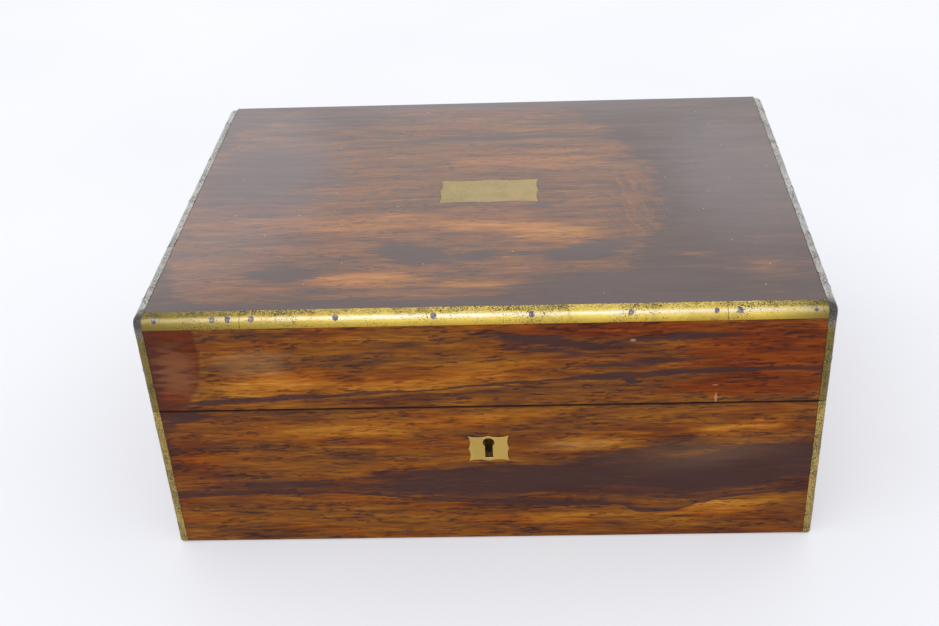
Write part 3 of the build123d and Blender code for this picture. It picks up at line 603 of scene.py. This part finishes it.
def unevenly_padded(node, material):
    """Velvet glued over card and thin wadding: soft arrises, and faces that are never quite flat."""
    sink, wave, cell = 0.16 * MM, 9.0 * MM, 6.0 * MM
    shape = merged_copy(node)
    grid_cut(shape, (cell, cell, cell))
    piece = piece_from(shape, node + "_velvet")
    ease_arrises(piece, 0.32 * MM)
    as_plain_mesh(piece, material, 60)
    mesh = piece.data
    outward = [normal.vector.copy() for normal in mesh.vertex_normals]
    for vertex, normal in zip(mesh.vertices, outward):
        vertex.co -= normal * sink * (0.5 + 0.5 * noise.noise(vertex.co / wave))
    settle(piece, node)


def lid_cushion(material):
    """The lid's panel: a velvet case over wadding. Its face swells under pressure from within, while its
    back is held on its card."""
    node = "lid_pad"
    low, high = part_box(node)
    start_depth = 2.6 * MM
    edge_room = 0.9 * MM
    most_swell = 2.4 * MM
    last_step = 20
    shape = bmesh.new()
    bmesh.ops.create_cube(shape, size=1.0)
    size = Vector((high.x - low.x - 2 * edge_room, high.y - low.y - 2 * edge_room, start_depth))
    middle = Vector(((low.x + high.x) / 2, (low.y + high.y) / 2, high.z - start_depth / 2))
    bmesh.ops.scale(shape, vec=size, verts=shape.verts)
    bmesh.ops.translate(shape, vec=middle, verts=shape.verts)
    grid_cut(shape, (6.0 * MM, 6.0 * MM, 1.3 * MM))
    piece = piece_from(shape, node + "_cushion")
    mesh = piece.data
    before = [vertex.co.copy() for vertex in mesh.vertices]
    held = piece.vertex_groups.new(name="held")
    held.add([v.index for v in mesh.vertices if v.co.z > high.z - 0.1 * MM], 1.0, "REPLACE")
    swelling = piece.modifiers.new("swelling", "CLOTH").settings
    swelling.vertex_group_mass = "held"
    swelling.use_pressure = True
    swelling.uniform_pressure_force = 4.0
    swelling.effector_weights.gravity = 0.0
    for step in range(1, last_step + 1):
        bpy.context.scene.frame_set(step)
    as_plain_mesh(piece, material, 60)
    for vertex, start in zip(piece.data.vertices, before):
        move = vertex.co - start
        if move.length > most_swell:
            vertex.co = start + move * (most_swell / move.length)
    keep_within(piece, low, high)
    bpy.context.scene.frame_set(1)
    ease_arrises(piece, 0.5 * MM)
    smoothing = piece.modifiers.new("smoothing", "SUBSURF")
    smoothing.levels = smoothing.render_levels = 1
    as_plain_mesh(piece, material, 60)
    settle(piece, node)


def ribbon_pull(side, material):
    """A silk ribbon folded double. Its ends are caught behind the tray's velvet, and its fold hangs down
    the end rail; side is 1 at the right and -1 at the left."""
    node = "tray_ribbons"
    low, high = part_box(node)
    cloth_thickness = 0.16 * MM
    outer = high.x - cloth_thickness / 2
    inner = min(abs(v.co.x) for v in frame["nodes"][node].data.vertices) + cloth_thickness / 2
    bend = (outer - inner) / 2
    turn_count, row_count, column_count = 8, 10, 12
    leg = high.z - low.z - bend
    route = [(outer, high.z - leg * i / row_count) for i in range(row_count)]
    for i in range(turn_count + 1):
        angle = math.pi * i / turn_count
        route.append((outer - bend + bend * math.cos(angle), low.z + bend - bend * math.sin(angle)))
    route += [(inner, low.z + bend + leg * i / row_count) for i in range(1, row_count + 1)]
    width = high.y - low.y
    ripple = 0.07 * MM
    points = []
    for x, z in route:
        for column in range(column_count + 1):
            y = low.y + width * column / column_count
            sway = ripple * math.sin(column * 1.1 + z / (3.0 * MM))
            points.append((side * (x - ripple + sway), y, z))
    columns = column_count + 1
    faces = [(r * columns + c, r * columns + c + 1, (r + 1) * columns + c + 1, (r + 1) * columns + c)
             for r in range(len(route) - 1) for c in range(column_count)]
    if side > 0:
        faces = [face[::-1] for face in faces]
    mesh = bpy.data.meshes.new(node)
    mesh.from_pydata(points, [], faces)
    piece = link(node + ("_right" if side > 0 else "_left"), mesh)
    depth = piece.modifiers.new("cloth thickness", "SOLIDIFY")
    depth.thickness = cloth_thickness
    depth.offset = 0.0
    as_plain_mesh(piece, material, 60)
    settle(piece, node)


def underside_cloth(material):
    """Wool baize glued under the bottom board, its edge cut by hand."""
    node = "underside_baize"
    low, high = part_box(node)
    waver = 0.5 * MM
    shape = merged_copy(node)
    grid_cut(shape, (7.0 * MM, 7.0 * MM, 1.0))
    piece = piece_from(shape, node + "_cloth")
    ease_arrises(piece, 0.15 * MM)
    as_plain_mesh(piece, material, 60)
    for vertex in piece.data.vertices:
        shrink = waver * (0.5 + 0.5 * noise.noise((vertex.co.x / (20 * MM), vertex.co.y / (20 * MM), 0.0)))
        vertex.co.x -= shrink * vertex.co.x / high.x
        vertex.co.y -= shrink * vertex.co.y / high.y
    settle(piece, node)


# ---- node-made pieces ----
def new_node_tree(name, sockets):
    """A geometry node tree with named inputs, and its input node."""
    tree = bpy.data.node_groups.new(name, "GeometryNodeTree")
    for label, kind in (("Geometry", "NodeSocketGeometry"), *sockets):
        tree.interface.new_socket(label, in_out="INPUT", socket_type=kind)
    tree.interface.new_socket("Geometry", in_out="OUTPUT", socket_type="NodeSocketGeometry")
    return tree, tree.nodes.new("NodeGroupInput").outputs


def run_nodes(piece, tree, values):
    """Gives the piece a node tree with these input values, by their sockets' identifiers."""
    modifier = piece.modifiers.new(tree.name, "NODES")
    modifier.node_group = tree
    for item in tree.interface.items_tree:
        if item.in_out == "INPUT" and item.name in values:
            modifier[item.identifier] = values[item.name]


def strip_tree():
    """Nodes that sweep a strip's section along a line, round its outer arris and dent it a little."""
    tree, given = new_node_tree("brass_strip", (
        ("Face height", "NodeSocketFloat"), ("Top width", "NodeSocketFloat"),
        ("Arris radius", "NodeSocketFloat"), ("Outward", "NodeSocketVector"),
        ("Dent size", "NodeSocketFloat"), ("Dent reach", "NodeSocketFloat"),
        ("Lowest corner", "NodeSocketVector"), ("Highest corner", "NodeSocketVector"),
        ("Material", "NodeSocketMaterial")))
    line = add(tree, "GeometryNodeMeshToCurve", given["Geometry"])
    line = add(tree, "GeometryNodeSetCurveNormal", mode="FREE",
               into={"Curve": line, "Normal": given["Outward"]})
    section = add(tree, "GeometryNodeCurvePrimitiveQuadrilateral",
                  into={"Width": given["Face height"], "Height": given["Top width"]})
    at_arris = add(tree, "ShaderNodeMath", add(tree, "GeometryNodeInputIndex"), 0.0, 0.5,
                   operation="COMPARE")
    radius = add(tree, "ShaderNodeMath", at_arris, given["Arris radius"], operation="MULTIPLY")
    section = add(tree, "GeometryNodeFilletCurve", mode="POLY",
                  into={"Curve": section, "Count": 7, "Radius": radius, "Limit Radius": False})
    section = add(tree, "GeometryNodeSubdivideCurve", section, 2)
    half = [add(tree, "ShaderNodeMath", given[name], 0.5, operation="MULTIPLY")
            for name in ("Face height", "Top width")]
    place = add(tree, "ShaderNodeCombineXYZ", *half)
    section = add(tree, "GeometryNodeTransform", into={"Geometry": section, "Translation": place})
    strip = add(tree, "GeometryNodeCurveToMesh",
                into={"Curve": line, "Profile Curve": section, "Fill Caps": True})
    strip = add(tree, "GeometryNodeMergeByDistance", into={"Geometry": strip, "Distance": 0.03 * MM})
    position = add(tree, "GeometryNodeInputPosition")
    scale = add(tree, "ShaderNodeMath", 1.0, given["Dent size"], operation="DIVIDE")
    dents = add(tree, "ShaderNodeTexNoise",
                into={"Vector": position, "Scale": scale, "Detail": 2.0}).outputs["Color"]
    centred = add(tree, "ShaderNodeVectorMath", dents, (0.5, 0.5, 0.5), operation="SUBTRACT")
    moved = add(tree, "ShaderNodeVectorMath", operation="SCALE",
                into={"Vector": centred, "Scale": given["Dent reach"]})
    moved = add(tree, "ShaderNodeVectorMath", position, moved, operation="ADD")
    moved = add(tree, "ShaderNodeVectorMath", moved, given["Lowest corner"], operation="MAXIMUM")
    moved = add(tree, "ShaderNodeVectorMath", moved, given["Highest corner"], operation="MINIMUM")
    strip = add(tree, "GeometryNodeSetPosition", into={"Geometry": strip, "Position": moved})
    strip = add(tree, "GeometryNodeSetShadeSmooth", into={"Geometry": strip, "Shade Smooth": True})
    strip = add(tree, "GeometryNodeRealizeInstances", strip)
    strip = add(tree, "GeometryNodeSetMaterial", into={"Geometry": strip, "Material": given["Material"]})
    add(tree, "NodeGroupOutput", strip)
    return tree


def pin_tree():
    """Nodes that set a low-domed pin head on every point, facing the way that the point says."""
    tree, given = new_node_tree("pin_heads", (
        ("Radius", "NodeSocketFloat"), ("Dome", "NodeSocketFloat"), ("Tilt", "NodeSocketFloat"),
        ("Seed", "NodeSocketInt"), ("Material", "NodeSocketMaterial")))
    dome = add(tree, "GeometryNodeMeshUVSphere", into={"Segments": 14, "Rings": 7, "Radius": 1.0})
    facing = add(tree, "GeometryNodeInputNamedAttribute", data_type="FLOAT_VECTOR",
                 into={"Name": "facing"})
    turn = add(tree, "FunctionNodeAlignRotationToVector", into={"Vector": facing})
    tilt_low = add(tree, "ShaderNodeMath", given["Tilt"], -1.0, operation="MULTIPLY")
    tilt = add(tree, "FunctionNodeRandomValue", data_type="FLOAT_VECTOR",
               into={"Min": tilt_low, "Max": given["Tilt"], "Seed": given["Seed"]})
    turn = add(tree, "FunctionNodeRotateRotation", turn, tilt, rotation_space="LOCAL")
    wide = add(tree, "FunctionNodeRandomValue", data_type="FLOAT",
               into={"Min": 0.85, "Max": 1.12, "Seed": given["Seed"]})
    wide = add(tree, "ShaderNodeMath", wide, given["Radius"], operation="MULTIPLY")
    size = add(tree, "ShaderNodeCombineXYZ", wide, wide, given["Dome"])
    heads = add(tree, "GeometryNodeInstanceOnPoints",
                into={"Points": given["Geometry"], "Instance": dome, "Rotation": turn, "Scale": size})
    heads = add(tree, "GeometryNodeRealizeInstances", heads)
    heads = add(tree, "GeometryNodeSetShadeSmooth", into={"Geometry": heads, "Shade Smooth": True})
    heads = add(tree, "GeometryNodeSetMaterial", into={"Geometry": heads, "Material": given["Material"]})
    add(tree, "NodeGroupOutput", heads)
    return tree


# ---- brass edging ----
RING_STEP = 1.2 * MM
TURN_RADIUS = 0.12 * MM
JOINT_GAP = 0.1 * MM
HEAD_SINK = 0.1 * MM
HINGE = next(joint for joint in frame["joints"] if joint["name"] == "lid_hinge")
HINGE_Y, HINGE_Z = HINGE["pos_m"][1:]
GROOVE_SLOPE = math.tan(math.radians(50))


def stepped(corners):
    """The points of a line through the corners, one about every ring step."""
    points = [Vector(corners[0])]
    for start, end in zip(corners, corners[1:]):
        start, end = Vector(start), Vector(end)
        count = max(1, round((end - start).length / RING_STEP))
        points += [start.lerp(end, i / count) for i in range(1, count + 1)]
    return points


def arch_line(x, front, back, foot, top):
    """Up one leg, round a tight corner, along the top, round the other corner and down."""
    sign = 1 if back > front else -1
    turns = []
    for y, inward, start in ((front, sign, 180), (back, -sign, 90)):
        centre = Vector((x, y + inward * TURN_RADIUS, top - TURN_RADIUS))
        angles = [math.radians(start - 15 * step) for step in range(7)]
        turns.append([centre + Vector((0, sign * math.cos(angle), math.sin(angle))) * TURN_RADIUS
                      for angle in angles])
    first, second = turns
    up = stepped([(x, front, foot), first[0]])
    along = stepped([first[-1], second[0]])
    down = stepped([second[-1], (x, back, foot)])
    return up[:-1] + first[:-1] + along + second[1:] + down[1:]


def mitre_at_groove(mesh, side):
    """Cuts a leg's foot back to the bevelled groove along the hinge line; side is 1 on the lid."""
    for vertex in mesh.vertices:
        rise = GROOVE_SLOPE * max(0.0, vertex.co.y - HINGE_Y)
        vertex.co.z = HINGE_Z + side * max(side * (vertex.co.z - HINGE_Z), rise)


def brass_strip(node, points, outward, face, top, radius, material, tree):
    """One strip of edging along its inner corner line, in place of its CAD node."""
    mesh = bpy.data.meshes.new(node + "_line")
    mesh.from_pydata([tuple(point) for point in points], [(i, i + 1) for i in range(len(points) - 1)], [])
    piece = link(node + "_finished", mesh)
    low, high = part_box(node)
    run_nodes(piece, tree, {
        "Face height": face, "Top width": top, "Arris radius": radius, "Outward": outward,
        "Dent size": 9.0 * MM, "Dent reach": 0.4 * MM, "Lowest corner": low, "Highest corner": high,
        "Material": material})
    as_plain_mesh(piece, material)
    if high.y > HINGE_Y:
        mitre_at_groove(piece.data, 1 if body_of(node) == "lid" else -1)
    settle(piece, node)


def make_edging(front_metal, arch_metal, corner_metal):
    """All the brass: three lengths along the front, an arch on each side of the lid, four uprights."""
    tree = strip_tree()
    front_radius, side_radius = 4.0 * MM, 2.5 * MM
    for name in ("left", "middle", "right"):
        node = "lid_front_strip_" + name
        low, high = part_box(node)
        ends = [(x, high.y, low.z) for x in (low.x + JOINT_GAP, high.x - JOINT_GAP)]
        brass_strip(node, stepped(ends), (0, 0, 1), high.z - low.z, high.y - low.y, front_radius,
                    front_metal, tree)
    for name, sign in (("left", -1), ("right", 1)):
        node = "lid_edging_" + name
        low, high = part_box(node)
        thick = high.x - low.x
        x = low.x if sign > 0 else high.x
        legs = (low.y + thick, high.y - thick)
        front, back = legs if sign < 0 else legs[::-1]
        line = arch_line(x, front, back, low.z, high.z - thick)
        brass_strip(node, line, (sign, 0, 0), thick, thick, side_radius, arch_metal, tree)
        for end in ("front", "back"):
            node = f"base_corner_strip_{end}_{name}"
            low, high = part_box(node)
            y = high.y if end == "front" else low.y
            ends = [(x, y, low.z), (x, y, high.z)]
            if (sign < 0) != (end == "front"):
                ends.reverse()
            brass_strip(node, stepped(ends), (sign, 0, 0), thick, thick, side_radius, corner_metal, tree)


def pin_points(node):
    """Where each pin's head lies and which way it faces, found from the pins' own solids."""
    shape = merged_copy(node)
    shape.verts.ensure_lookup_table()
    left = set(shape.verts)
    middle = np.array([0, 0, cad_box[1][2] / 2])
    heads, facings = [], []
    while left:
        island, fresh = set(), {min(left, key=lambda vertex: vertex.index)}
        while fresh:
            island |= fresh
            fresh = {edge.other_vert(v) for v in fresh for edge in v.link_edges} - island
        left -= island
        points = np.array([vertex.co[:] for vertex in sorted(island, key=lambda v: v.index)])
        centre = points.mean(0)
        axis = np.linalg.svd(points - centre)[2][0]
        spread = (centre - middle) * (0.05, 1, 1)    # outward is judged by depth and height
        axis = axis if axis @ spread > 0 else -axis
        heads.append(centre + axis * (((points - centre) @ axis).max() - HEAD_SINK))
        facings.append(axis)
    shape.free()
    return heads, facings


def make_pin_heads(node, tree, radius, metal, seed):
    """The pins' filed heads, one for each of the node's pins."""
    heads, facings = pin_points(node)
    mesh = bpy.data.meshes.new(node)
    mesh.from_pydata([tuple(head) for head in heads], [], [])
    facing = mesh.attributes.new("facing", "FLOAT_VECTOR", "POINT")
    for item, value in zip(facing.data, facings):
        item.vector = value
    piece = link(node + "_heads", mesh)
    run_nodes(piece, tree, {"Radius": radius, "Dome": 0.16 * MM, "Tilt": 0.12, "Seed": seed,
                            "Material": metal})
    as_plain_mesh(piece, metal)
    keep_within(piece, *cad_box)
    settle(piece, node)


# ---- camera and light ----
def place_camera():
    """The camera stands a little above the box's front and looks down at it."""
    azimuth, elevation, roll = (math.radians(a) for a in (-2.08, 33.31, -2.19))
    position = Vector((0.0268, -0.5873, 0.4254))
    ahead = Vector((math.sin(azimuth) * math.cos(elevation), math.cos(azimuth) * math.cos(elevation),
                    -math.sin(elevation)))
    level = Vector((math.cos(azimuth), -math.sin(azimuth), 0))
    up = level.cross(ahead)
    across = level * math.cos(roll) + up * math.sin(roll)
    over = up * math.cos(roll) - level * math.sin(roll)
    turn = Matrix((across, over, -ahead)).transposed().to_4x4()
    data = bpy.data.cameras.new("camera")
    data.sensor_width = 36.0
    data.lens = 49.92
    data.shift_x = -0.0384
    data.shift_y = 0.0285
    data.clip_start = 0.01
    camera = bpy.data.objects.new("camera", data)
    bpy.context.scene.collection.objects.link(camera)
    camera.matrix_world = Matrix.Translation(position) @ turn
    bpy.context.scene.camera = camera


def light_the_table():
    """A white room, one broad soft lamp over the front left, and a pale table that glows a little, so that
    the shadow on it stays light."""
    scene = bpy.context.scene
    scene.view_settings.view_transform = "Standard"
    world = bpy.data.worlds.new("white_room")
    scene.world = world
    world.use_nodes = True
    sky = world.node_tree.nodes["Background"]
    sky.inputs["Color"].default_value = (1.0, 1.0, 1.0, 1.0)
    sky.inputs["Strength"].default_value = 1.25
    lamp = bpy.data.lights.new("soft_lamp", "AREA")
    lamp.shape = "RECTANGLE"
    lamp.size = 1.6
    lamp.size_y = 1.2
    lamp.energy = 6.0
    holder = bpy.data.objects.new("soft_lamp", lamp)
    scene.collection.objects.link(holder)
    place = Vector((-0.5, -0.9, 1.4))
    aim = (Vector((0, 0, 0.05)) - place).to_track_quat("-Z", "Y").to_matrix().to_4x4()
    holder.matrix_world = Matrix.Translation(place) @ aim

    material, tree = new_material("pale_table")
    cloud = add(tree, "ShaderNodeTexNoise",
                into={"Vector": object_millimetres(tree), "Scale": 0.004, "Detail": 2.0})
    tint = add(tree, "ShaderNodeValToRGB", cloud, stops=[(0.3, "#ABACB1"), (0.7, "#B0B1B4")])
    add(tree, "ShaderNodeOutputMaterial", add(tree, "ShaderNodeBsdfPrincipled", into={
        "Base Color": tint, "Roughness": 0.7, "Emission Color": linear("#F6F8FF"),
        "Emission Strength": 0.38}))
    half = 4.0    # metres from its middle to its edges
    mesh = bpy.data.meshes.new("table")
    mesh.from_pydata([(-half, -half, 0), (half, -half, 0), (half, half, 0), (-half, half, 0)], [],
                     [(0, 1, 2, 3)])
    mesh.materials.append(material)
    link("table", mesh)


place_camera()
light_the_table()

VENEER_ARRIS = 0.2 * MM
back_wood = side_rosewood("french_polished_rosewood_back", "front")
side_wood = side_rosewood("french_polished_rosewood_sides", "side")
facing_wood = side_rosewood("rubbed_rosewood_rims", "top", None)
make_hard_pieces(VENEER_ARRIS, lid_top_rosewood(), "lid_top_veneer")
make_hard_pieces(VENEER_ARRIS, front_rosewood(), "lid_front_veneer", "base_front_veneer")
make_hard_pieces(VENEER_ARRIS, back_wood, "lid_back_veneer", "base_back_veneer")
make_hard_pieces(VENEER_ARRIS, side_wood, "lid_left_veneer", "lid_right_veneer", "base_left_veneer",
                 "base_right_veneer")
make_hard_pieces(VENEER_ARRIS, facing_wood, "lid_rim_facings", "base_rim_facings")

# The square corner that the front's upper arris would have, as the Z - Y that its material works in.
FRONT_CORNER = BOX_TOP - BOX_FRONT
# The front strip: a painted cream highlight along its crest, and a paler top face over a deeper gold front face, a
# painted reflection.
front_brass = old_brass("filed_brass_front_strip", "#DDC05C", 0.35, 0.01,
                        top_pits=(BOX_FRONT + 1.6, BOX_FRONT + 3.1),
                        arris=(FRONT_CORNER - 2.75, FRONT_CORNER - 2.38, "#CDC2AA"),
                        ends=(2.5 - HALF_LENGTH, -40.0, 118.0, HALF_LENGTH - 2.5),
                        below=(BOX_TOP - 6.5, BOX_TOP - 2.5, "#B8902C"))
# The side arches' pale grey upper faces are a painted reflection of the bright room; lower down they take a deeper
# olive, and their front corners darken with patina.
arch_brass = old_brass("tarnished_brass_side_strips_painted_reflection", "#B6B5B2", 0.2, 0.06, 0.36,
                       arris=(FRONT_CORNER - 12.5, FRONT_CORNER - 2.5, "#1E1D1A"),
                       below=(BOX_TOP - 13.0, BOX_TOP - 2.0, "#80703C"))
corner_brass = old_brass("worn_brass_corner_strips", "#BBA05C", 0.55, 0.085, 0.36)
make_edging(front_brass, arch_brass, corner_brass)
pins = pin_tree()
pin_steel = steel("filed_iron_pins", "#67606A")
# Filing has spread the heads on the lid wider than their shanks.
make_pin_heads("lid_edging_pins", pins, 1.4 * MM, pin_steel, 3)
make_pin_heads("base_edging_pins", pins, 0.9 * MM, pin_steel, 8)

plate_brass = old_brass("rubbed_brass_plate", "#A8966F", 0.35, -0.07, 0.5)
escutcheon_brass = old_brass("rubbed_brass_escutcheon", "#BF9F55", 0.3, -0.1, 0.4)
make_hard_pieces(0.25 * MM, plate_brass, "lid_plate")
make_hard_pieces(0.3 * MM, escutcheon_brass, "escutcheon")

# The carcass of each half and the tray, by the way their grain runs.
BOARDS = {
    "front": ("base_front_board", "base_back_board", "lid_front_board", "lid_back_board"),
    "side": ("base_left_board", "base_right_board", "lid_left_board", "lid_right_board"),
    "top": ("bottom_board", "lid_top_board"),
}
TRAY_WOOD = {
    "front": ("tray_long_rails", "tray_dividers"),
    "side": ("tray_end_rails", "tray_ledges"),
    "top": ("tray_bottom",),
}
for turn, nodes in BOARDS.items():
    mahogany = plain_wood("planed_mahogany_" + turn, turn, "#54301E", "#8C5A38", 0.0)
    make_hard_pieces(0.3 * MM, mahogany, *nodes)
for turn, nodes in TRAY_WOOD.items():
    tray_wood = plain_wood("polished_mahogany_tray_" + turn, turn, "#45221A", "#7E4528", 0.5)
    make_hard_pieces(0.4 * MM, tray_wood, *nodes)

fitting_brass = old_brass("cast_brass_fittings", "#B99A55", 0.4, -0.04, 0.35)
make_hard_pieces(0.15 * MM, fitting_brass, "lock_plate", "link_plate", "hinge_base_leaves",
                 "hinge_lid_leaves")
lock_steel = steel("blued_steel_lock_parts", "#5A5656")
make_hard_pieces(0.2 * MM, lock_steel, "lock_case", "lock_bolt")
dress(steel("filed_iron_screws", "#6A6664"), "lock_drill_pin", "bolt_spring", "bolt_guide_studs",
      "hinge_pins", "lock_screws", "base_hinge_screws", "lid_hinge_screws", "link_plate_screws")

velvet = cloth("faded_silk_velvet", "#35173A", "#51305A", 0.3, 0.9)
for node in ("base_wall_linings", "base_floor_lining", "lid_wall_linings", "tray_linings"):
    unevenly_padded(node, velvet)
lid_cushion(velvet)
ribbon_silk = cloth("plain_woven_silk_ribbon", "#5A2C60", "#83588A", 0.3, 0.5)
for side in (-1, 1):
    ribbon_pull(side, ribbon_silk)
underside_cloth(cloth("worn_green_baize", "#163C27", "#2B5A3C", 0.3, 1.2))
